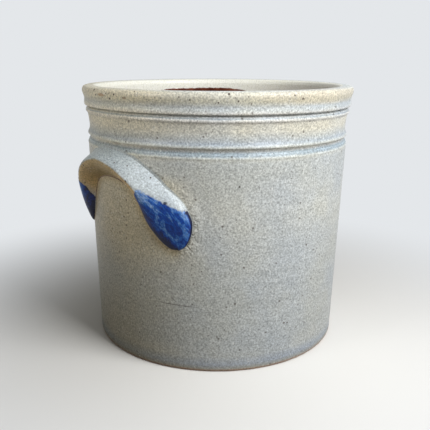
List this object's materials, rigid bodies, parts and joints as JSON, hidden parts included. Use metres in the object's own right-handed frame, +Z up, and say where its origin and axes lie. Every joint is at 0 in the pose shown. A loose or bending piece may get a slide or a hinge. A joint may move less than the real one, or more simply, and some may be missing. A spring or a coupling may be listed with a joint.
{
  "type": "stoneware crock",
  "caption": "Open round stoneware crock with a rolled lip, grooved neck band, lug handles against the wall, and a brown slip lining; stands on its flat base and holds food or utensils.",
  "frame": {"origin": "centre of the flat base, on the surface it stands on", "axes": "+Z up along the axis of the pot; the lugs are on -X (left) and +X (right); the front between them faces -Y"},
  "size_m": [0.206, 0.19, 0.1796],
  "materials": {
    "salt_glazed_stoneware": "salt-glazed grey stoneware, orange-peel texture with fine brown specks",
    "brown_slip": "smooth glossy brown clay slip",
    "lug_stoneware": "pale salt-glazed stoneware",
    "luting_slip": "wiped clay slip under salt glaze",
    "cobalt_decoration": "brushed cobalt blue under salt glaze"
  },
  "bodies": {
    "root": {"crock_body": "salt_glazed_stoneware", "interior_slip_lining": "brown_slip", "left_handle": "lug_stoneware", "left_handle_lute": "luting_slip", "left_handle_cobalt": "cobalt_decoration", "right_handle": "lug_stoneware", "right_handle_lute": "luting_slip", "right_handle_cobalt": "cobalt_decoration"}
  },
  "joints": []
}
